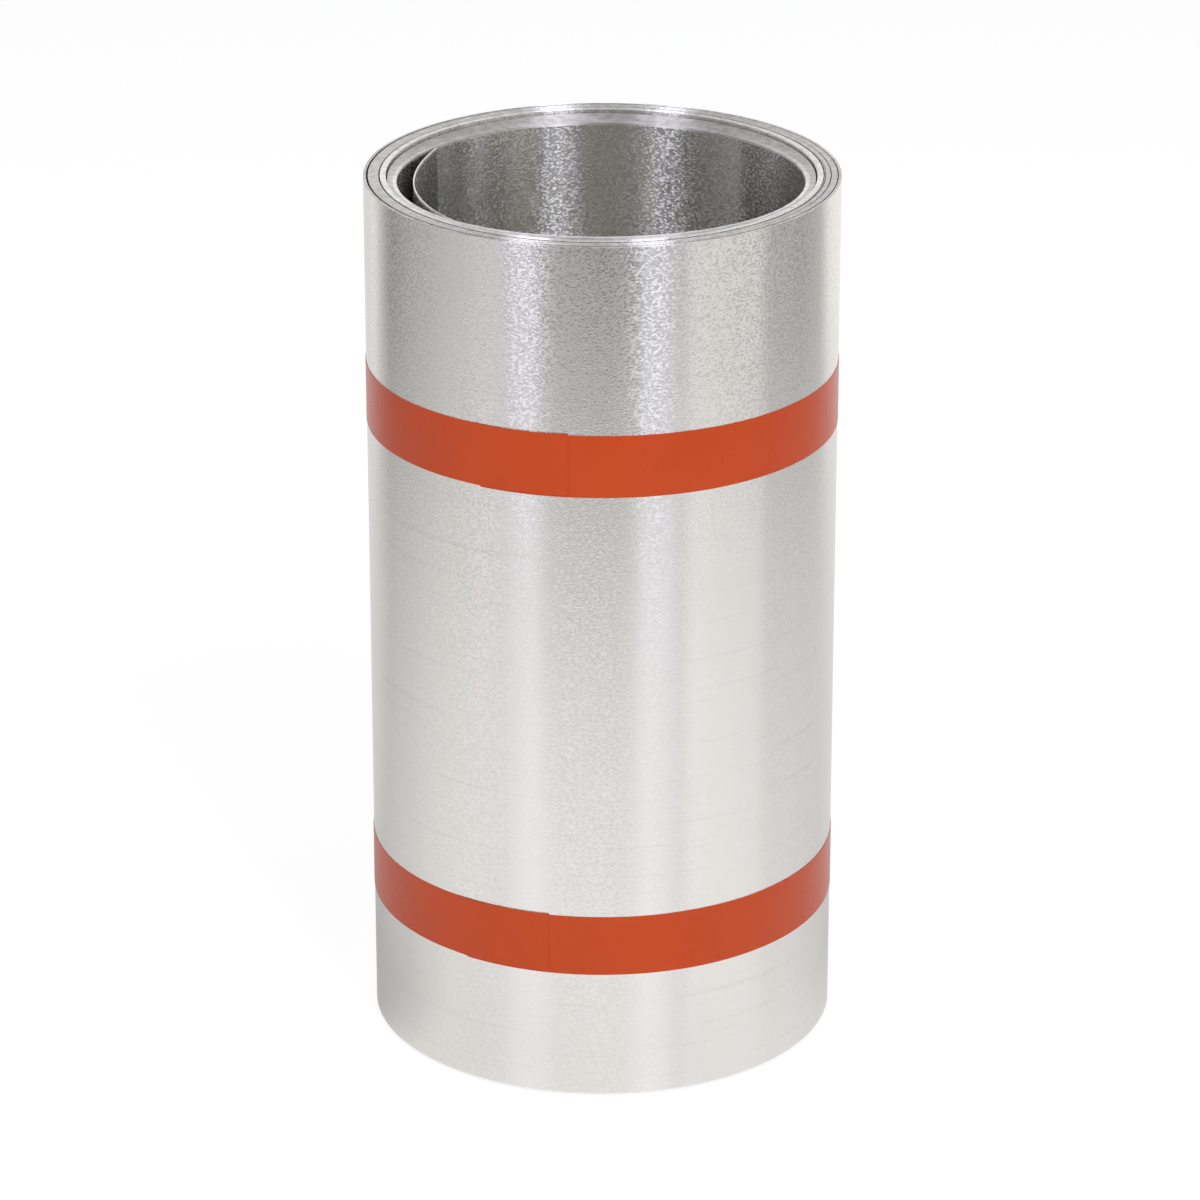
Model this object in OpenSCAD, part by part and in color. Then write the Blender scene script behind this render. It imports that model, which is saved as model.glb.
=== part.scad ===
// Roll of aluminium flashing, standing on its end: one long bare sheet wound on
// itself with no core, and two bands of strapping tape that hold it shut.
// Millimetres, +Z up along the roll's axis, origin on the floor at the axis.

/* [Sheet] */
// Width of the sheet, which is the height of the roll
sheet_w = 254; // [120:1:610]
// Thickness of the sheet
sheet_t = 0.2; // [0.15:0.01:0.4]
// Air between two turns that lie close
turn_gap = 0.01; // [0:0.005:0.05]

/* [Winding] */
// Width of the bore from side to side
bore_d = 114.5; // [90:0.1:200]
// How much narrower the bore is from front to back, where its turns have slackened
bore_squeeze = 9.5; // [1:0.1:14]
// How far the squeezed bore lies off the axis, towards the front
bore_offset = 1.3; // [0:0.1:3]
// Turns in the inner bundle, which is squeezed and has slid down to the floor
inner_turns = 12; // [4:1:60]
// Turns in the second bundle, the innermost of the round ones
second_turns = 8; // [4:1:60]
// Turns in the third bundle
third_turns = 14; // [4:1:60]
// Turns in the outer bundle, the last two of them wound as a spiral
outer_turns = 5; // [4:1:20]
// Open gap between two bundles, where the winding has sprung
bundle_gap = 0.52; // [0.2:0.01:1.5]
// Depth to which that gap is open below each end
gap_depth = 6; // [2:0.5:20]
// Height of the round bundles above the inner one
slide = 1.2; // [0.2:0.1:5]
// Largest height by which single turns stray within a bundle
stray = 0.12; // [0:0.01:0.3]
// Angle of the sheet's outer cut end, seen from above
outer_end_angle = 80; // [0:1:359]

/* [Inner end of the sheet] */
// Angle at which the sheet leaves the wall of the bore
tail_root_angle = 224; // [180:1:300]
// Angle that the sprung end spans, from there to its tip
tail_span = 74; // [40:1:120]
// Widest gap between the sprung end and the wall
tail_bow = 4.4; // [1:0.1:10]
// Share of its bend by which the sprung end eases into the wall at its root
tail_ease = 0.6; // [0.1:0.05:0.9]
// Clearance between the tip and the wall
tip_gap = 1.4; // [0.7:0.1:3]
// Height by which the sprung end rides clear of the floor
tail_lift = 0.3; // [0.25:0.05:1]

/* [Tape] */
// Width of a tape band
tape_w = 18; // [9:1:50]
// Thickness of the tape
tape_t = 0.15; // [0.1:0.01:0.3]
// Height of the lower band's lower edge above the floor
lower_tape_z = 38.8; // [10:0.5:100]
// Distance from the roll's top down to the upper band's upper edge
upper_tape_drop = 53.8; // [10:0.5:100]
// Length over which a band's end laps its start
tape_lap = 26; // [5:1:60]
// Angle of the upper band's end, and of the lower one's
upper_lap_angle = 262; // [0:1:359]
lower_lap_angle = 258; // [0:1:359]
// How far the lapping end lies out of line with its start
tape_skew = 0.4; // [0:0.1:2]

/* [Hidden] */
$fn = 180;

third_start = inner_turns + second_turns;
outer_start = third_start + third_turns;
turns = outer_start + outer_turns;
spiral_turns = 2;
turned_turns = turns - spiral_turns;
pitch = sheet_t + turn_gap;
bore_r = bore_d / 2;
roll_r = turn_start(turns);
roll_top = sheet_w + slide;
upper_tape_z = roll_top - upper_tape_drop - tape_w;
tail_steps = 28;
root_sink = 3 * sheet_t;
web_sink = 3 * sheet_t;
root_sink_angle = 3;
tail_end_angle = tail_root_angle + root_sink_angle;
tail_peak = (1 + tail_ease - sqrt(1 - tail_ease + tail_ease * tail_ease)) / (3 * tail_ease);

// The squeezed bore is an oval of four arcs that run on into each other. Its side arcs
// have their centres to either side of its middle, the flatter arcs at its front and back
// have theirs beyond it. A side centre, the middle and a flat centre are the corners of a
// triangle in the proportion 3 : 4 : 5, and the line of its long side is where arcs meet.
oval_unit = bore_squeeze / 4;
side_centre = 3 * oval_unit;
flat_centre = 4 * oval_unit;
side_r = bore_r - side_centre;
flat_r = side_r + 5 * oval_unit;

// Whether turn i is the first of the third or of the outer bundle
function opens_bundle(i) = i == third_start || i == outer_start;

// Open gaps that lie inside turn i
function gaps_inside(i) = i < inner_turns ? 0 : i < third_start ? 1 : i < outer_start ? 2 : 3;

// Inner radius of turn i, counted from 0 at the bore
function turn_start(i) = bore_r + i * pitch + gaps_inside(i) * bundle_gap;

// Height of the lower edge of turn i: every fifth turn is level with its bundle
function turn_base(i) = (i < inner_turns ? 0 : slide) + stray * (i * 7 % 5) / 4;

// Point at an angle and a distance from the axis
function polar(r, angle) = [r * cos(angle), r * sin(angle)];

// Outline of one end of the inner bundle from the bore at r outwards, raised by z
function inner_outline(r, z) = [
    for (i = [0:inner_turns - 1])
        each [[r + i * pitch, z + turn_base(i)], [r + (i + 1) * pitch, z + turn_base(i)]]
];

// Section of the web that joins the inner bundle to the second, outwards from r
function web_outline(r) = [
    [r, gap_depth],
    [r + bundle_gap + web_sink, gap_depth],
    [r + bundle_gap + web_sink, sheet_w - gap_depth],
    [r, sheet_w - gap_depth]
];

// Outline of one end of the round bundles from the second outwards, raised by z, with
// the gaps between them cut to gap_z
function end_outline(z, gap_z) = [
    for (i = [inner_turns:turned_turns - 1]) each concat(
        opens_bundle(i) ? [[turn_start(i), gap_z]] : [],
        [[turn_start(i), z + turn_base(i)], [turn_start(i) + pitch, z + turn_base(i)]],
        opens_bundle(i + 1) ? [[turn_start(i) + pitch, gap_z]] : []
    )
];

function reversed(list) = [for (i = [len(list) - 1:-1:0]) list[i]];

// Part of a tube wall about the Z axis, from one angle through a span
module curved_sheet(r, thickness, height, from, span) {
    rotate_extrude(angle = span, start = from)
        translate([r, 0])
            square([thickness, height]);
}

// One arc of the inner bundle about its own centre, within the wedge that has the
// direction given along one side and its mirror image along the other
module inner_arc(r, centre, direction, webbed) {
    translate([centre, 0, 0])
        intersection() {
            rotate_extrude()
                polygon(concat(
                    inner_outline(r, 0),
                    webbed ? web_outline(r + inner_turns * pitch) : [],
                    reversed(inner_outline(r, sheet_w))
                ));
            translate([0, 0, -1])
                linear_extrude(roll_top + 2)
                    polygon([[0, 0], [direction.x, -direction.y] * roll_r, direction * roll_r]);
        }
}

// The inner bundle, squeezed from the front and the back, and joined at its sides to
// the second bundle by a web that lies deep in the gap between them
module squeezed_winding() {
    translate([0, -bore_offset, 0])
        for (turn = [0, 180]) rotate([0, 0, turn]) {
            inner_arc(side_r, side_centre, [3, 4], true);
            rotate([0, 0, 90])
                inner_arc(flat_r, -flat_centre, [4, 3], false);
        }
}

// The round bundles but for their last turns, turned in one piece with stepped ends
module turned_winding() {
    rotate_extrude()
        polygon(concat(
            end_outline(0, gap_depth),
            reversed(end_outline(sheet_w, sheet_w - gap_depth))
        ));
}

// The form inside the outermost surface: two half turns about two centres, so that
// the surface spirals out by one pitch a turn and ends in a step at the cut end
module outer_form(height) {
    small_r = roll_r - 0.75 * pitch;
    rotate([0, 0, outer_end_angle]) {
        translate([-pitch / 4, 0, 0])
            rotate_extrude(angle = 180)
                square([small_r, height]);
        translate([pitch / 4, 0, 0])
            rotate_extrude(angle = 180, start = 180)
                square([small_r + pitch / 2, height]);
    }
}

// The last turns, which end in the sheet's outer cut edge, bonded half a turn deep
// to the turned ones
module spiral_winding() {
    translate([0, 0, turn_base(turned_turns)])
        difference() {
            outer_form(sheet_w);
            translate([0, 0, -1])
                cylinder(r = turn_start(turned_turns) - pitch / 2, h = sheet_w + 2);
        }
}

// Bend of the sprung end, from 0 at its tip to 1 where it leaves the wall
function tail_bend(u) = u * (1 - u) * (1 - tail_ease * u);

// Gap between the wall and the sprung end, widest where the bend is at its peak
function tail_gap(u) = tip_gap * (1 - u) + tail_bow * tail_bend(u) / tail_bend(tail_peak);

// Distance from the axis at which a line drawn at an angle meets an arc round a centre
function reach(angle, centre, r) =
    let (along = centre * polar(1, angle))
        along + sqrt(r ^ 2 - centre * centre + along ^ 2);

// Distance from the axis to the wall of the bore at an angle, on a side arc where the
// line meets that within its own wedge, and on a flat arc elsewhere
function wall_r(angle) =
    let (
        to_side = cos(angle) < 0 ? -side_centre : side_centre,
        to_flat = sin(angle) < 0 ? flat_centre : -flat_centre,
        on_side = reach(angle, [to_side, -bore_offset], side_r),
        across = abs(on_side * cos(angle)) - side_centre,
        along = abs(on_side * sin(angle) + bore_offset)
    )
        3 * along <= 4 * across ? on_side : reach(angle, [0, to_flat - bore_offset], flat_r);

// One face of the sprung end, at a depth into the bore from the face by the wall.
// Its last point lies inside the wall, past the place where the sheet leaves it.
function tail_face(depth) = concat(
    [for (k = [0:tail_steps - 1])
        let (angle = tail_root_angle - tail_span * (1 - k / tail_steps))
            polar(wall_r(angle) - tail_gap(k / tail_steps) - depth, angle)],
    [polar(wall_r(tail_end_angle) + root_sink - depth, tail_end_angle)]
);

// The sheet's inner end, sprung off the wall, with its root run into the wall
module inner_tail() {
    translate([0, 0, tail_lift])
        linear_extrude(sheet_w)
            polygon(concat(tail_face(0), reversed(tail_face(sheet_t))));
}

// The whole wound sheet
module coil() {
    color("silver") {
        squeezed_winding();
        turned_winding();
        spiral_winding();
        inner_tail();
    }
}

// A band drawn tight round the roll, with its end lapped over its start
module tape_band(z, end_angle) {
    lap_r = roll_r + tape_t;
    lap_span = tape_lap / lap_r * 180 / PI;
    color("orangered")
        translate([0, 0, z]) {
            difference() {
                cylinder(r = lap_r, h = tape_w);
                translate([0, 0, -1])
                    outer_form(tape_w + 2);
            }
            translate([0, 0, tape_skew])
                curved_sheet(lap_r, tape_t, tape_w, end_angle - lap_span, lap_span);
        }
}

module upper_tape_band() {
    tape_band(upper_tape_z, upper_lap_angle);
}

module lower_tape_band() {
    tape_band(lower_tape_z, lower_lap_angle);
}

coil();
upper_tape_band();
lower_tape_band();
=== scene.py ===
"""A roll of mill-finish aluminium flashing, held shut by two bands of strapping tape.

Lengths are in metres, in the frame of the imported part: +Z up along the roll's axis, with
the floor at 0. Angles are seen from above and counted anticlockwise from +X, in degrees.
A place along the sheet is counted in turns from the root of its sprung inner end, and an
azimuth in the studio in degrees from the front.
"""

import math

import bmesh
import bpy
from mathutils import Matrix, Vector


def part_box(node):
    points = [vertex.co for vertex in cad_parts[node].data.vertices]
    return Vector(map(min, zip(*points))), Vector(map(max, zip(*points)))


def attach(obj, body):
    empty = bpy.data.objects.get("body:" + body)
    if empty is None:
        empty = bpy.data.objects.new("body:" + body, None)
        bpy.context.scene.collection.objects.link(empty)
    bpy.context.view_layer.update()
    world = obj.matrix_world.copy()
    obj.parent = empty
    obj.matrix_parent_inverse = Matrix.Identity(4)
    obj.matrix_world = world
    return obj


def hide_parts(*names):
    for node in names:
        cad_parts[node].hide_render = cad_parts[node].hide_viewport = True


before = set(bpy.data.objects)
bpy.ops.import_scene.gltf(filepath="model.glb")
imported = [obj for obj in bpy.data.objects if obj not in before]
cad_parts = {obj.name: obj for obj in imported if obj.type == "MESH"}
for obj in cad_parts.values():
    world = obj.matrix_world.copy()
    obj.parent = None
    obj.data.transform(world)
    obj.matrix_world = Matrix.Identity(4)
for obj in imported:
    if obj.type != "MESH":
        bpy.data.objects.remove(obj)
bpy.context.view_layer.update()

MM = 0.001
COIL_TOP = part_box("coil")[1].z
tape_low, tape_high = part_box("upper_tape_band")

# ---------------------------------------------------------------- sheet and winding
SHEET_T = 0.2 * MM
PITCH = SHEET_T + 0.01 * MM
SLIDE = 1.2 * MM                 # by which the inner bundle has slid down
STRAY = 0.12 * MM                # largest height by which single turns stray
SHEET_W = COIL_TOP - SLIDE - STRAY
TAPE_T = 0.15 * MM
ROLL_R = (tape_high.x - tape_low.x) / 2 - TAPE_T

STEPS_PER_TURN = 180
TIP_ANGLE = 150                  # inner end of the sheet, sprung off the wall of the bore
ROOT_ANGLE = 224                 # where the sprung end leaves the wall
OUTER_END_ANGLE = 80             # outer cut end of the sheet
WHOLE_TURNS = 39
FIRST_TURN = (TIP_ANGLE - ROOT_ANGLE) / 360
LAST_TURN = WHOLE_TURNS + (OUTER_END_ANGLE - ROOT_ANGLE) / 360

# Outline of the bore: its mean radius, its shift to the left and to the front, how far it
# is squeezed from the front and back, and how far it gives way at three sides
BORE_R = 54.7 * MM
BORE_LEFT = 0.25 * MM
BORE_FRONT = 1.74 * MM
BORE_SQUEEZE = 2.23 * MM
BORE_DENTS = 0.45 * MM
DENT_ANGLE = 30

# Turns at which one bundle ends and the next begins
INNER_ENDS = 12
SECOND_ENDS = 20.2
LOOSE_TURN_ENDS = 27
THIRD_ENDS = 34.4
CROSSING = 0.3                   # share of a turn in which the sheet crosses a gap

# Open gaps: mean width, how far it wanders, and the angle at which the gap is widest
THIRD_GAP = (0.45 * MM, 0.08 * MM, 30)
OUTER_GAP = (0.42 * MM, 0.12 * MM, 160)
SIDE_GAP = 0.3 * MM              # at its widest, beside the loose turn
SIDE_GAP_ANGLE = -20
INNER_GAP = 0.42 * MM            # between the inner bundle and the second

# How late in the inner bundle its turns slacken: the power at the back, and what is added
# to it at the front
SLACK_BACK = 1.1
SLACK_FRONT = 4.5

# Sprung end: the gap at its tip, its bow, how far that eases into the wall, and the most
# that its bend comes to
TIP_GAP = 0.5 * MM
TAIL_BOW = 4.4 * MM
TAIL_EASE = 0.3
WIDEST_BEND = 0.214

# Heights of the turns: how far the inner bundle is dished, the turns in which the sheet
# climbs out of it, and the waves in which it strays (share, radians to a turn, start)
DISH = 0.3 * MM
CLIMB = 0.7
STRAY_WAVES = ((0.1, 0.5, 0), (0.3, 2.6, 0), (0.08, 7.3, 1))

SECOND_INNER = 60.1 * MM         # radii between which the second bundle lies
SECOND_OUTER = 62.1 * MM
BRIGHT_EDGE_DEPTH = 1.2 * MM          # of the turns next to the bore, whose edges carry a painted highlight
BURR = 0.12 * MM                 # by which the shears have spread the sprung end's edge
BURR_RISE = 0.25                 # share of the sprung end over which the burr grows
SHEET_ROUNDING = 0.014 * MM

# ---------------------------------------------------------------- tape
TAPE_W = 18 * MM
TAPE_LAP = 22                    # angle through which a band's end laps its start
TAPE_SKEW = tape_high.z - tape_low.z - TAPE_W
TAPE_STEPS = 2                   # to a degree
TAPE_ROUNDING = 0.04 * MM
GLUE = 0.005 * MM                # between tape and metal
WAVER = 0.03 * MM                # of a band's edges, up and down
WAVER_RATE = 0.21                # in radians to a degree
WAVER_SHIFT = 16.2               # by which the upper edge's waver is out of step
BAND_ENDS = {"upper_tape_band": 262, "lower_tape_band": 257}    # angles of the tape's ends
BRIDGE_SPAN = 4                  # angle that tape takes to come down off an edge under it

SQUARE_ANGLE = 60                # past which an edge is square and is rounded
CREASE_ANGLE = 20                # past which the shading breaks


def wave(angle, times=1):
    """Cosine of a multiple of an angle in degrees."""
    return math.cos(math.radians(angle * times))


def smooth(x):
    """0 below 0, 1 above 1, and an even curve between them."""
    x = min(max(x, 0.0), 1.0)
    return x * x * (3 - 2 * x)


def bore_outline(angle):
    """Distance from the axis to the wall of the bore: an oval, squeezed from the front."""
    return (BORE_R - BORE_LEFT * wave(angle) - BORE_FRONT * wave(angle - 90)
            + BORE_SQUEEZE * wave(angle, 2) - BORE_DENTS * wave(angle - DENT_ANGLE, 3))


def still_inside(turn, end):
    """1 for turns inside a gap that lies at turn end, and 0 once the sheet has crossed it."""
    return 1 - smooth((turn - end) / CROSSING)


def gap_width(gap, angle):
    """Width of an open gap at an angle."""
    mean, wander, widest_at = gap
    return mean + wander * wave(angle - widest_at)


def gaps_outside(turn):
    """Air in the open gaps between the round bundles further out than a place on the sheet."""
    angle = ROOT_ANGLE + 360 * turn
    side_gap = SIDE_GAP * max(0.0, wave(angle - SIDE_GAP_ANGLE)) ** 2
    return (gap_width(OUTER_GAP, angle) * still_inside(turn, THIRD_ENDS)
            + side_gap * still_inside(turn, LOOSE_TURN_ENDS)
            + gap_width(THIRD_GAP, angle) * still_inside(turn, SECOND_ENDS))


def along_inner(turn):
    """Share of the inner bundle's turns that lie before a place on the sheet."""
    return min(1.0, max(0.0, turn / INNER_ENDS))


def wall_radius(turn):
    """Distance from the axis to the inner face of the wound sheet, at a place along it."""
    angle = ROOT_ANGLE + 360 * turn
    round_bundles = ROLL_R - SHEET_T - PITCH * (LAST_TURN - turn) - gaps_outside(turn)
    tight = bore_outline(angle) + PITCH * turn
    slack = max(0.0, round_bundles - tight - INNER_GAP)
    lateness = SLACK_BACK + SLACK_FRONT * smooth(-wave(angle - 90))
    slackened = tight + slack * along_inner(turn) ** lateness
    inside = still_inside(turn, INNER_ENDS)
    return slackened * inside + round_bundles * (1 - inside)


def tail_gap(share):
    """Gap behind the sprung end, from its root at 0 to its tip at 1."""
    to_root = 1 - share
    bend = to_root * (1 - to_root) * (1 - TAIL_EASE * to_root)
    return TIP_GAP * share + TAIL_BOW * bend / WIDEST_BEND


def sheet_radius(turn):
    """Distance from the axis to the sheet's inner face, its sprung end included."""
    if turn >= 0:
        return wall_radius(turn)
    return wall_radius(turn + 1) - PITCH - tail_gap(turn / FIRST_TURN)


def roll_surface(angle):
    """Distance from the axis to the outside of the roll, under tape drawn tight over it."""
    past_end = (angle - OUTER_END_ANGLE) % 360
    turn = LAST_TURN - 1 + past_end / 360
    bridged = PITCH * (1 - smooth(past_end / BRIDGE_SPAN))
    return sheet_radius(turn) + SHEET_T + bridged


def sheet_base(turn):
    """Height of the sheet's lower edge above the floor, at a place along it."""
    stray = 0.5 + sum(share * math.sin(rate * turn + start) for share, rate, start in STRAY_WAVES)
    dish = DISH * along_inner(turn)
    return dish + (SLIDE - dish) * smooth((turn - INNER_ENDS) / CLIMB) + STRAY * stray


def is_painted_bright_edge(place):
    """Whether a spot on a cut edge is on the sprung end, the first turns or the second
    bundle, which stand proud or free. These edges are rubbed smooth and carry a painted
    highlight."""
    radius = place.xy.length
    angle = math.degrees(math.atan2(place.y, place.x))
    by_bore = radius < bore_outline(angle) + BRIGHT_EDGE_DEPTH
    return by_bore or SECOND_INNER < radius < SECOND_OUTER


# ---------------------------------------------------------------- mesh helpers
def from_axis(radius, angle, z):
    """The point at a distance from the axis, an angle and a height."""
    return Vector((radius * math.cos(math.radians(angle)),
                   radius * math.sin(math.radians(angle)), z))


def flat_strip(steps):
    """A strip one face wide, and for each of its points the share of the strip's length
    before it and whether it is on the upper edge."""
    bm = bmesh.new()
    bmesh.ops.create_grid(bm, x_segments=steps, y_segments=1, size=0.5)
    return bm, [(v, round((v.co.x + 0.5) * steps) / steps, v.co.y > 0) for v in bm.verts]


def thicken(bm, thickness):
    """Gives a sheet that faces outwards its wall, on its outer side."""
    bm.normal_update()
    bmesh.ops.solidify(bm, geom=bm.faces[:], thickness=-thickness)
    bmesh.ops.recalc_face_normals(bm, faces=bm.faces[:])


def round_square_edges(bm, width):
    """Takes the sharpness off every square edge."""
    limit = math.radians(SQUARE_ANGLE)
    square = [e for e in bm.edges if e.is_manifold and e.calc_face_angle() > limit]
    bmesh.ops.bevel(bm, geom=square, offset=width, offset_type="OFFSET", segments=2,
                    profile=0.5, affect="EDGES", material=-1)


def finished(bm, name, materials, replaced):
    """Makes a bmesh into a piece of the roll that stands for a CAD node."""
    for face in bm.faces:
        face.smooth = True
    limit = math.radians(CREASE_ANGLE)
    for edge in bm.edges:
        edge.smooth = not edge.is_manifold or edge.calc_face_angle() < limit
    mesh = bpy.data.meshes.new(name)
    bm.to_mesh(mesh)
    bm.free()
    for material in materials:
        mesh.materials.append(material)
    piece = bpy.data.objects.new(name, mesh)
    bpy.context.scene.collection.objects.link(piece)
    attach(piece, "root")
    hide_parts(replaced)


# ---------------------------------------------------------------- pieces
def spread_burr(bm):
    """The burr that the shears have left on the sprung end, into the bore at its top."""
    for v in bm.verts:
        turn = (math.degrees(math.atan2(v.co.y, v.co.x)) % 360 - ROOT_ANGLE) / 360
        if v.co.z > SHEET_W / 2 and FIRST_TURN <= turn < 0:
            on_inner_face = abs(v.co.xy.length - sheet_radius(turn)) < SHEET_T / 4
            if on_inner_face:
                grown = BURR * smooth(turn / FIRST_TURN / BURR_RISE)
                v.co.xy -= v.co.xy.normalized() * grown


def wound_sheet(bare, sheared, painted_bright_edge):
    """The one long sheet, wound by moving a flat strip's points along the spiral."""
    turns = LAST_TURN - FIRST_TURN
    bm, places = flat_strip(round(turns * STEPS_PER_TURN))
    for v, share, upper in places:
        turn = FIRST_TURN + turns * share
        z = sheet_base(turn) + (SHEET_W if upper else 0)
        v.co = from_axis(sheet_radius(turn), ROOT_ANGLE + 360 * turn, z)
    thicken(bm, SHEET_T)
    spread_burr(bm)
    for face in bm.faces:
        is_cut_edge = abs(face.normal.z) > 0.5
        if is_cut_edge:
            # the edges by the bore and of the second bundle get the painted highlight
            face.material_index = 2 if is_painted_bright_edge(face.calc_center_median()) else 1
    round_square_edges(bm, SHEET_ROUNDING)
    finished(bm, "wound_sheet", [bare, sheared, painted_bright_edge], "coil")


def wound_tape(band, end_angle, material):
    """A band of tape, drawn round the roll and lapped over its own start, a little askew."""
    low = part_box(band)[0].z
    span = 360 + TAPE_LAP
    bm, places = flat_strip(TAPE_STEPS * span)
    for v, share, upper in places:
        angle = end_angle - span * (1 - share)
        lapped = smooth((share * span - 360) / BRIDGE_SPAN + 1)
        shift = WAVER_SHIFT if upper else 0
        waver = WAVER * math.sin(WAVER_RATE * angle + shift) * math.sin(math.pi * share)
        z = low + (TAPE_W if upper else 0) + TAPE_SKEW * share + waver
        v.co = from_axis(roll_surface(angle) + GLUE + TAPE_T * lapped, angle, z)
    thicken(bm, TAPE_T)
    round_square_edges(bm, TAPE_ROUNDING)
    finished(bm, band.replace("tape_band", "strapping"), [material], band)


# ---------------------------------------------------------------- materials
class Maths:
    """A shader socket on which Python's operators add Math nodes."""

    def __init__(self, nodes, socket):
        self.nodes = nodes
        self.socket = socket

    def _math(self, operation, *values):
        return self.nodes.node("ShaderNodeMath", {"operation": operation}, values)

    def __add__(self, other):
        return self._math("ADD", self, other)

    __radd__ = __add__

    def __sub__(self, other):
        return self._math("SUBTRACT", self, other)

    def __rsub__(self, other):
        return self._math("SUBTRACT", other, self)

    def __mul__(self, other):
        return self._math("MULTIPLY", self, other)

    __rmul__ = __mul__

    def __truediv__(self, other):
        return self._math("DIVIDE", self, other)

    def __pow__(self, other):
        return self._math("POWER", self, other)


def grey(value):
    """A neutral colour of a brightness."""
    return (value, value, value, 1)


def set_stops(elements, stops):
    """Gives a ramp its stops: each is a place along it and a colour."""
    while len(elements) < len(stops):
        elements.new(0.5)
    for element, (place, colour) in zip(elements, stops):
        element.position = place
        element.color = colour


class Finish:
    """The nodes of a material or of the world, and the ways to add to them."""

    def __init__(self, owner):
        owner.use_nodes = True
        self.owner = owner
        self.tree = owner.node_tree
        self.tree.nodes.clear()

    def node(self, kind, settings=(), values=(), output=0):
        """Adds a node, sets it, then fills its sockets with numbers, colours or links."""
        new = self.tree.nodes.new(kind)
        for key, value in dict(settings).items():
            if key == "stops":
                set_stops(new.color_ramp.elements, value)
            else:
                setattr(new, key, value)
        pairs = values.items() if isinstance(values, dict) else enumerate(values)
        for key, value in pairs:
            if isinstance(value, Maths):
                self.tree.links.new(value.socket, new.inputs[key])
            else:
                new.inputs[key].default_value = value
        return Maths(self, new.outputs[output]) if new.outputs else None

    def outputs(self, kind, names, values=()):
        """Adds a node of which several outputs are used."""
        sockets = self.node(kind, {}, values).socket.node.outputs
        return [Maths(self, sockets[name]) for name in names]

    def ramp(self, value, stops):
        """Colours that run into each other over a value."""
        return self.node("ShaderNodeValToRGB", {"stops": stops}, {"Fac": value})

    def greys(self, value, tones):
        """Greys that run into each other over a value: each is a place and a brightness."""
        return self.ramp(value, [(place, grey(tone)) for place, tone in tones])

    def rise(self, value, low, high):
        """0 up to one value, 1 from another on, and even between them."""
        return self.greys(value, ((low, 0), (high, 1)))

    def object_place(self, squash=1):
        """Object coordinates, in which a pattern is pressed flat along the roll."""
        place = self.node("ShaderNodeTexCoord", output=3)
        return self.node("ShaderNodeMapping", {}, {"Vector": place, "Scale": (1, 1, squash)})

    def noise(self, cells, detail, squash=1):
        """Noise with so many cells to the metre, pressed flat along the roll."""
        return self.node("ShaderNodeTexNoise", {},
                         {"Vector": self.object_place(squash), "Scale": cells, "Detail": detail})

    def clamped(self, value):
        """A value held between 0 and 1."""
        return self.node("ShaderNodeClamp", {}, {"Value": value})

    def larger(self, a, b):
        """The larger of two values."""
        return self.node("ShaderNodeMath", {"operation": "MAXIMUM"}, (a, b))

    def mix_colour(self, factor, a, b, blend="MIX"):
        """Colour a where the factor is 0, and b where it is 1."""
        return self.node("ShaderNodeMix", {"data_type": "RGBA", "blend_type": blend},
                         {0: factor, 6: a, 7: b}, output=2)

    def tinted(self, colour, tint):
        """A colour darkened by a tint."""
        return self.mix_colour(1.0, colour, tint, "MULTIPLY")

    def bump(self, height, distance, strength=1.0, over=None):
        """Relief from a value, laid over other relief if there is any."""
        values = {"Height": height, "Distance": distance, "Strength": strength}
        if over is not None:
            values["Normal"] = over
        return self.node("ShaderNodeBump", {}, values)

    def mix_shader(self, factor, first, second):
        """The first shader where the factor is 0, and the second where it is 1."""
        return self.node("ShaderNodeMixShader", {}, {0: factor, 1: first, 2: second})

    def surface(self, shader):
        """Ends the material in its shader."""
        self.node("ShaderNodeOutputMaterial", {}, {"Surface": shader})
        return self.owner


DULL_MILL = (0.775, 0.757, 0.735, 1)
BRIGHT_MILL = (0.83, 0.815, 0.80, 1)
GREENISH = (0.98, 1.0, 0.975, 1)
# Dull and bright tone of the inner bundle's turn tips, painted lighter for the light on them
DULL_PAINTED_TIP = (0.78, 0.765, 0.73, 1)
BRIGHT_PAINTED_TIP = (1, 0.98, 0.935, 1)
PAINTED_LIGHT_TIP = 0.9 * MM            # height over which the inner bundle's turns are painted lighter and rubbed rougher
BUNDLE_FADE = 0.1 * MM           # width over which that painted light and rubbing end
LOW_GRAIN = 0.42                 # strength of the grain low on the roll, against the top
GRAIN_FROM = 0.5                 # share of the height at which it begins to grow
GRAIN_OVER = 0.3                 # and over which it does
DULL_TAPE = (0.46, 0.047, 0.004, 1)
BRIGHT_TAPE = (0.55, 0.062, 0.005, 1)

# Cut edges: the dull and the bright tone of the metal, and its roughness
SHEARED = ((0.66, 0.64, 0.625, 1), (0.86, 0.835, 0.82, 1), 0.36)
# Edges by the bore and on the second bundle: smoother, and painted bright as a highlight
PAINTED_BRIGHT_EDGE = ((0.94, 0.935, 0.93, 1), (0.98, 0.975, 0.97, 1), 0.2)


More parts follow.
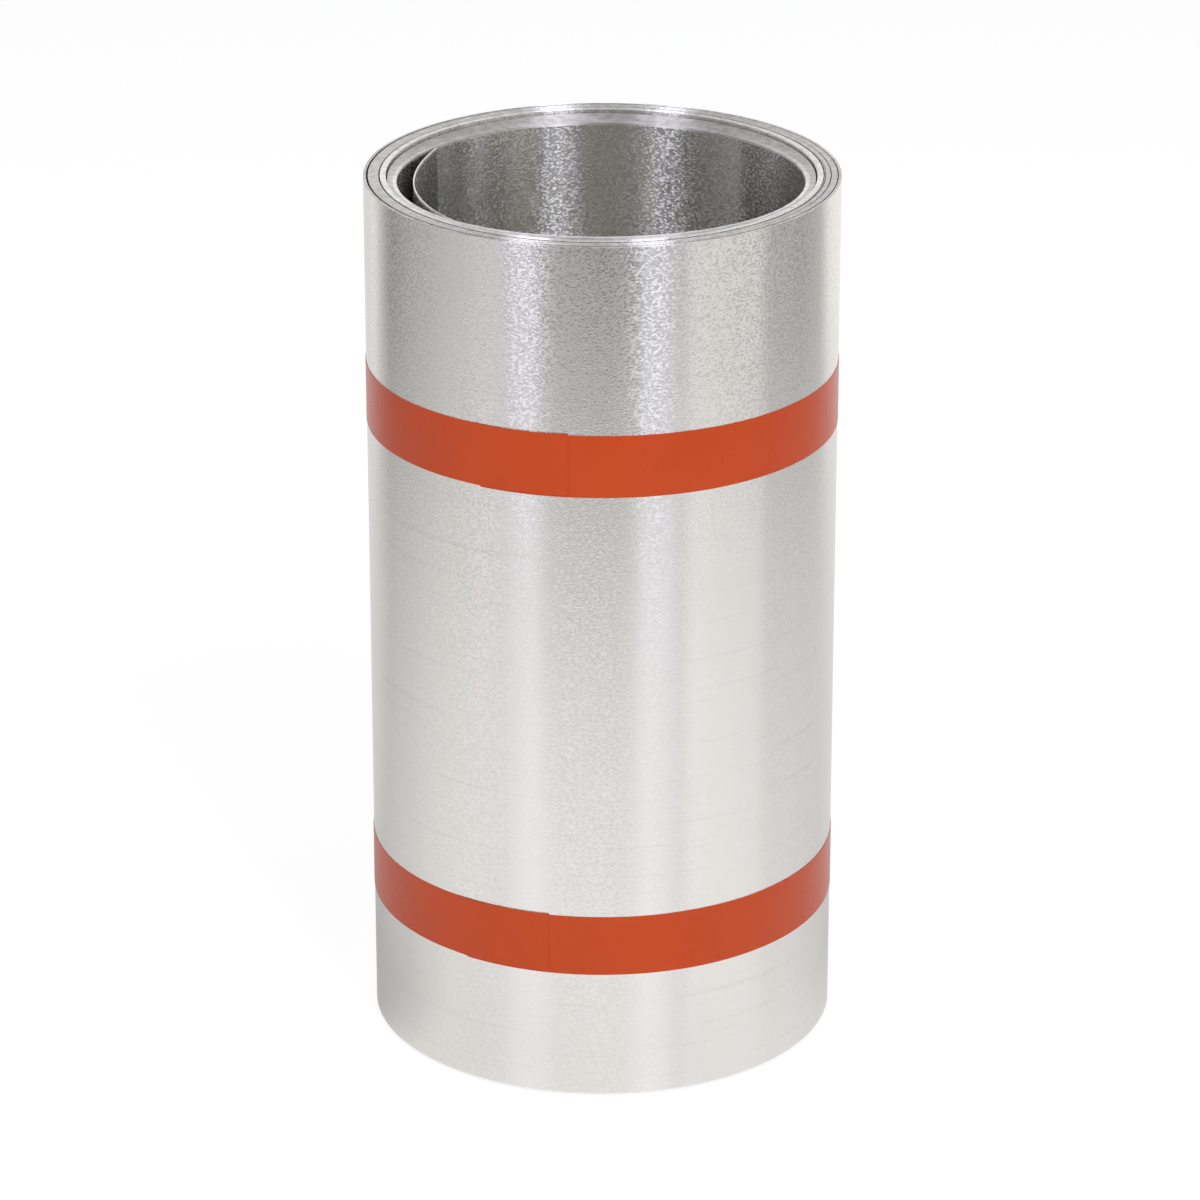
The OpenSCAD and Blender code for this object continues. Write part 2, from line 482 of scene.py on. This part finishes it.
def mill_finish():
    """Bare rolled aluminium: fine rolling lines along the sheet, and a sparkle that is
    stronger towards the top. Where the inner bundle's turns end they are rubbed rougher, and
    painted lighter for the light that reaches their tips."""
    f = Finish(bpy.data.materials.new("mill_finish_aluminium"))
    lines = f.noise(260, detail=2, squash=14)
    scuffs = f.noise(14, detail=3, squash=60)
    grain = f.noise(1300, detail=1, squash=1.5)
    specks = f.rise(f.noise(1050, detail=1, squash=1.7), 0.38, 0.62)
    patches = f.noise(18, detail=2, squash=0.4)
    bands = f.noise(60, detail=2, squash=0.02)
    burrs = f.noise(400, detail=3)
    x, y, z = f.outputs("ShaderNodeSeparateXYZ", "XYZ", {0: f.object_place()})
    up_the_roll = f.clamped((z / SHEET_W - GRAIN_FROM) / GRAIN_OVER)
    coarse = LOW_GRAIN + (1 - LOW_GRAIN) * up_the_roll
    within = f.clamped((SECOND_INNER - (x * x + y * y) ** 0.5) / BUNDLE_FADE)
    painted_light_and_rubbed = within * f.clamped((z - (SHEET_W - PAINTED_LIGHT_TIP)) / PAINTED_LIGHT_TIP)

    tone = f.mix_colour(patches, DULL_MILL, BRIGHT_MILL)
    colour = f.mix_colour(f.rise(bands, 0.35, 0.65), tone, f.tinted(tone, GREENISH))
    colour = f.mix_colour(specks * coarse, colour, f.tinted(colour, grey(0.965)))
    colour = f.tinted(colour, f.greys(scuffs, ((0.58, 1), (0.72, 0.955))))
    # painted light: the ends of the inner bundle's turns are coloured brighter, for the light
    # that reaches their tips in the gaps
    painted_light_tips = f.ramp(burrs, ((0.4, DULL_PAINTED_TIP), (0.6, BRIGHT_PAINTED_TIP)))

    dulled = 0.04 * patches
    sparkle = 0.15 * (specks - 0.45) * coarse
    worn = 0.45 * painted_light_and_rubbed
    rolled = f.bump(lines, 0.03 * MM, strength=0.4)
    return f.surface(f.node("ShaderNodeBsdfPrincipled", {}, {
        "Base Color": f.mix_colour(painted_light_and_rubbed, colour, painted_light_tips),
        "Metallic": 1.0,
        "Roughness": 0.195 + dulled + sparkle + worn,
        "Anisotropic": 1.0,
        "Anisotropic Rotation": 0.25,
        "Normal": f.bump(grain * coarse, 0.04 * MM, over=rolled),
    }))


def cut_edge(name, dull, bright, roughness):
    """A cut edge of the sheet, dragged by the shears, between two tones of bare metal."""
    f = Finish(bpy.data.materials.new(name))
    drag = f.noise(420, detail=3)
    worn = f.noise(60, detail=2)
    marks = f.greys(drag, ((0.4, 0.8), (0.58, 1)))
    return f.surface(f.node("ShaderNodeBsdfPrincipled", {}, {
        "Base Color": f.tinted(f.mix_colour(worn, dull, bright), marks),
        "Metallic": 1.0,
        "Roughness": roughness + 0.2 * drag,
        "Anisotropic": 0.8,
        "Anisotropic Rotation": 0.25,
        "Normal": f.bump(drag, 0.05 * MM, strength=0.6),
    }))


def strapping_tape():
    """Orange-red tape with a satin face."""
    f = Finish(bpy.data.materials.new("strapping_tape"))
    tone = f.noise(40, detail=3, squash=0.6)
    pebble = f.noise(900, detail=2)
    return f.surface(f.node("ShaderNodeBsdfPrincipled", {}, {
        "Base Color": f.mix_colour(tone, DULL_TAPE, BRIGHT_TAPE),
        "Roughness": 0.22 + 0.12 * tone,
        "IOR": 1.36,
        "Sheen Weight": 0.13,
        "Sheen Roughness": 0.4,
        "Normal": f.bump(pebble, 0.03 * MM, strength=0.4),
    }))


# ---------------------------------------------------------------- studio
FLOOR_R = 6.0
FLOOR_LIT = 0.35                 # share of its colour by which the floor answers the lamps
FLOOR_GLOW = 0.75                # light that it gives off itself
FLOOR_MATT = 0.6                 # its brightness for light that is spread
BY_ROLL = (0.09, 0.17)           # distances between which the roll's own shade ends
PAPER_ENDS = (0.51, 0.66)        # and between which the floor's paper ends

# Light off the paper beside the roll, off the paper, and off the studio floor beyond it,
# each by azimuth; on the floor beyond, the pools under the softboxes are painted light
BESIDE_ROLL = ((-120, 0.46), (-85, 0.53), (-72, 0.64), (-57, 0.81), (-30, 0.86), (0, 0.93),
               (30, 0.84), (55, 0.85), (75, 0.8), (120, 0.6))
ON_PAPER = ((-180, 0.4), (-174, 0.5), (-168, 0.85), (-150, 0.76), (-120, 0.63), (-100, 0.72),
            (-80, 0.84), (-60, 0.93), (-38, 0.9), (-20, 0.98), (0, 1.0), (26, 0.88),
            (45, 0.92), (85, 0.8), (105, 0.76), (120, 0.74), (150, 0.8), (168, 0.85),
            (174, 0.5), (180, 0.4))
BEYOND_PAPER = ((-180, 0.4), (-174, 0.5), (-168, 0.85), (-150, 0.8), (-138, 0.95), (-120, 0.24),
                (-90, 0.38), (-58, 0.6), (-49, 0.6), (-46, 0.42), (-31, 0.42), (-28, 0.2),
                (0, 0.08), (15, 0.14), (19, 0.38), (34, 0.42), (37, 0.4), (61, 0.36),
                (85, 0.34), (107, 0.31), (125, 0.5), (136, 1.0), (150, 1.0), (168, 1.0),
                (174, 0.5), (180, 0.4))
UNDER_LAMPS = ((-51, 0), (-47, 1), (34, 1), (37, 0))    # where the floor beyond takes the softboxes' cool light, painted on
WARM = (1, 0.98, 0.955, 1)
COOL_LAMP_LIGHT = (0.955, 0.957, 1, 1)

# Light off the walls, by height from level to straight up, and from front to back
BY_HEIGHT = ((0.0, 1.0), (0.34, 0.95), (0.6, 0.78), (1, 0.75))
BY_DEPTH = ((0.3, 0.33), (0.55, 1))
EVEN_LIGHT = 0.52                # strength of the light from all round

# Lamps: distance, azimuth, elevation, width and height, power in watts, and colour
SOFTBOX_COLOUR = (0.85, 0.85, 1.0)
FILL_COLOUR = (1.0, 0.985, 0.96)
LAMPS = {
    "left_softbox": (1.7, -38.5, 36, (0.48, 0.9), 10.5, SOFTBOX_COLOUR),
    "right_softbox": (1.7, 26.5, 40, (0.46, 0.9), 13.0, SOFTBOX_COLOUR),
    "left_fill": (1.6, -62, 12, (1.2, 0.9), 0.1, FILL_COLOUR),
    "right_fill": (1.6, 60, 12, (1.2, 0.9), 4.2, FILL_COLOUR),
}
CAMERA_TARGET = Vector((-0.0006, 0, 0.1262))
CAMERA_DISTANCE = 1.55
CAMERA_ELEVATION = 22.12


def studio_world():
    """White behind the roll, dimmer overhead and towards the camera, and an even light."""
    world = bpy.data.worlds.new("studio")
    bpy.context.scene.world = world
    f = Finish(world)
    camera, glossy, sent = f.outputs(
        "ShaderNodeLightPath", ("Is Camera Ray", "Is Glossy Ray", "Is Transmission Ray"))
    back, up = f.outputs("ShaderNodeSeparateXYZ", "YZ", {0: f.node("ShaderNodeTexCoord")})
    walls = f.tinted(f.greys(up, BY_HEIGHT), f.greys(back * 0.5 + 0.5, BY_DEPTH))
    light, room, white = (
        f.node("ShaderNodeBackground", {}, {"Color": colour, "Strength": strength})
        for colour, strength in ((grey(1), EVEN_LIGHT), (walls, 1.0), (grey(1), 1.0)))
    seen = f.mix_shader(f.larger(glossy, sent), light, room)
    f.node("ShaderNodeOutputWorld", {}, {"Surface": f.mix_shader(camera, seen, white)})


def round_the_roll(f, azimuth, tones):
    """Greys that follow one another round the roll, each at its azimuth."""
    return f.greys(azimuth, [(0.5 + turned / 360, tone) for turned, tone in tones])


def pale_floor():
    """A floor that the camera sees as white apart from the shadow, and on which, for the
    metal, a sheet of paper lies round the roll."""
    f = Finish(bpy.data.materials.new("pale_floor"))
    camera, glossy = f.outputs("ShaderNodeLightPath", ("Is Camera Ray", "Is Glossy Ray"))
    place = f.node("ShaderNodeTexCoord", output=3)
    x, y = f.outputs("ShaderNodeSeparateXYZ", "XY", {0: place})
    azimuth = f.node("ShaderNodeMath", {"operation": "ARCTAN2"}, (x, y * -1.0))
    azimuth = azimuth / (2 * math.pi) + 0.5
    away = f.node("ShaderNodeVectorMath", {"operation": "LENGTH"}, {0: place}, output=1)

    paper = f.mix_colour(f.rise(away, *BY_ROLL), round_the_roll(f, azimuth, BESIDE_ROLL),
                         round_the_roll(f, azimuth, ON_PAPER))
    # painted light: the floor beyond takes the softboxes' cool colour under them
    tint = f.mix_colour(round_the_roll(f, azimuth, UNDER_LAMPS), WARM, COOL_LAMP_LIGHT)
    beyond = f.tinted(round_the_roll(f, azimuth, BEYOND_PAPER), tint)
    room = f.mix_colour(f.rise(away, *PAPER_ENDS), f.tinted(paper, WARM), beyond)
    seen = f.mix_colour(camera, room, grey(1))

    answer = f.mix_colour(1 - FLOOR_LIT, seen, grey(0))
    lit = f.node("ShaderNodeBsdfDiffuse", {}, {"Color": answer})
    glow = f.node("ShaderNodeEmission", {}, {"Color": seen, "Strength": FLOOR_GLOW})
    bright = f.node("ShaderNodeAddShader", {}, {0: lit, 1: glow})
    matt = f.node("ShaderNodeBsdfDiffuse", {}, {"Color": grey(FLOOR_MATT)})
    return f.surface(f.mix_shader(f.larger(camera, glossy), matt, bright))


def studio_floor():
    """A round floor that is not part of the roll."""
    bm = bmesh.new()
    bmesh.ops.create_circle(bm, cap_ends=True, segments=96, radius=FLOOR_R)
    mesh = bpy.data.meshes.new("floor")
    bm.to_mesh(mesh)
    bm.free()
    mesh.materials.append(pale_floor())
    floor = bpy.data.objects.new("floor", mesh)
    bpy.context.scene.collection.objects.link(floor)


def aimed(name, data, target, distance, azimuth, elevation):
    """A lamp or camera that looks at a target from an azimuth and an elevation."""
    flat = distance * math.cos(math.radians(elevation))
    place = target + Vector((flat * math.sin(math.radians(azimuth)),
                             -flat * math.cos(math.radians(azimuth)),
                             distance * math.sin(math.radians(elevation))))
    holder = bpy.data.objects.new(name, data)
    holder.location = place
    holder.rotation_euler = (target - place).to_track_quat("-Z", "Y").to_euler()
    bpy.context.scene.collection.objects.link(holder)
    return holder


def softbox(name, distance, azimuth, elevation, size, power, colour):
    """An even, square-edged lamp that looks at the middle of the roll."""
    lamp = bpy.data.lights.new(name, "AREA")
    lamp.shape = "RECTANGLE"
    lamp.size, lamp.size_y = size
    lamp.energy = power
    lamp.color = colour
    aimed(name, lamp, Vector((0, 0, SHEET_W / 2)), distance, azimuth, elevation)


def long_lens_camera():
    """A long lens, looking down on the roll from the front."""
    data = bpy.data.cameras.new("camera")
    data.sensor_width = 36
    data.lens = 161.13
    bpy.context.scene.camera = aimed("camera", data, CAMERA_TARGET, CAMERA_DISTANCE, 0,
                                     CAMERA_ELEVATION)


bpy.context.scene.view_settings.view_transform = "Standard"
long_lens_camera()
studio_world()
studio_floor()
for lamp_name, setting in LAMPS.items():
    softbox(lamp_name, *setting)
wound_sheet(mill_finish(), cut_edge("sheared_edge", *SHEARED),
            cut_edge("painted_highlight_edge", *PAINTED_BRIGHT_EDGE))
tape = strapping_tape()
for band, end_angle in BAND_ENDS.items():
    wound_tape(band, end_angle, tape)
